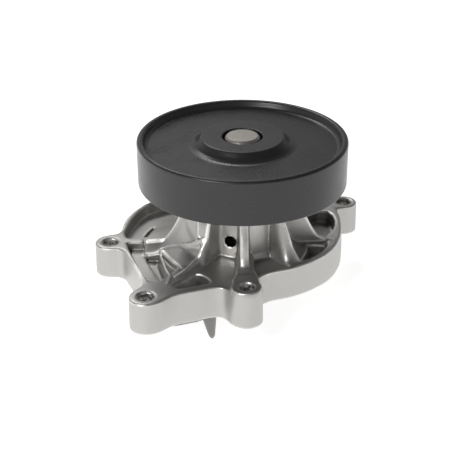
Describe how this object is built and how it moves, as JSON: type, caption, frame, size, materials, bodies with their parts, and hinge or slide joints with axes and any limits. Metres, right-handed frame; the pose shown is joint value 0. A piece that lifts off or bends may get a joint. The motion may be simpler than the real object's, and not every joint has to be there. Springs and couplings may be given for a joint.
{
  "type": "automotive water pump",
  "caption": "Belt-driven engine coolant pump: smooth pulley on a shaft bearing, cast volute housing with bolt ears and gusset ribs, mechanical seal and impeller.",
  "frame": {"origin": "where the shaft axis meets the plane of the housing's mounting face", "axes": "+Z along the shaft from the mounting face to the pulley; the front ear is towards -Y and the left ear towards -X"},
  "size_m": [0.1596, 0.1625, 0.1044],
  "materials": {
    "cast_aluminium": "die cast, shot blasted, satin",
    "black_coating": "satin black coating on steel",
    "shaft_steel": "ground",
    "pressed_steel": "pressed, dull",
    "bearing_steel": "polished",
    "stamped_steel": "bright stamped stainless",
    "spring_steel": "drawn wire",
    "nitrile_rubber": "moulded matt",
    "nylon_cage": "moulded nylon",
    "carbon": "lapped carbon graphite",
    "ceramic": "lapped ceramic"
  },
  "bodies": {
    "housing": {"pump_housing": "cast_aluminium", "bearing_outer_ring": "bearing_steel", "bearing_seal_front": "nitrile_rubber", "bearing_seal_rear": "nitrile_rubber", "seal_case": "stamped_steel", "seal_spring": "spring_steel", "seal_bellows": "nitrile_rubber", "seal_carbon_face": "carbon"},
    "rotor": {"pump_shaft": "shaft_steel", "pulley": "black_coating", "impeller": "pressed_steel", "seal_mating_ring": "ceramic", "seal_seat_cup": "stamped_steel"},
    "front_ball_row": {"ball_cage_front": "nylon_cage", "ball_front_1": "bearing_steel", "ball_front_2": "bearing_steel", "ball_front_3": "bearing_steel", "ball_front_4": "bearing_steel", "ball_front_5": "bearing_steel", "ball_front_6": "bearing_steel", "ball_front_7": "bearing_steel", "ball_front_8": "bearing_steel", "ball_front_9": "bearing_steel"},
    "rear_ball_row": {"ball_cage_rear": "nylon_cage", "ball_rear_1": "bearing_steel", "ball_rear_2": "bearing_steel", "ball_rear_3": "bearing_steel", "ball_rear_4": "bearing_steel", "ball_rear_5": "bearing_steel", "ball_rear_6": "bearing_steel", "ball_rear_7": "bearing_steel", "ball_rear_8": "bearing_steel", "ball_rear_9": "bearing_steel"}
  },
  "joints": [
    {"name": "rotor_spin", "type": "hinge", "parent": "housing", "child": "rotor", "pos_m": [0, 0, 0.054], "axis": [0, 0, 1], "continuous": true},
    {"name": "front_ball_row_spin", "type": "hinge", "parent": "housing", "child": "front_ball_row", "pos_m": [0, 0, 0.064], "axis": [0, 0, 1], "continuous": true},
    {"name": "rear_ball_row_spin", "type": "hinge", "parent": "housing", "child": "rear_ball_row", "pos_m": [0, 0, 0.044], "axis": [0, 0, 1], "continuous": true}
  ],
  "couplings": [
    {"joint": "front_ball_row_spin", "follows": "rotor_spin", "ratio": 0.3827},
    {"joint": "rear_ball_row_spin", "follows": "rotor_spin", "ratio": 0.3827}
  ]
}
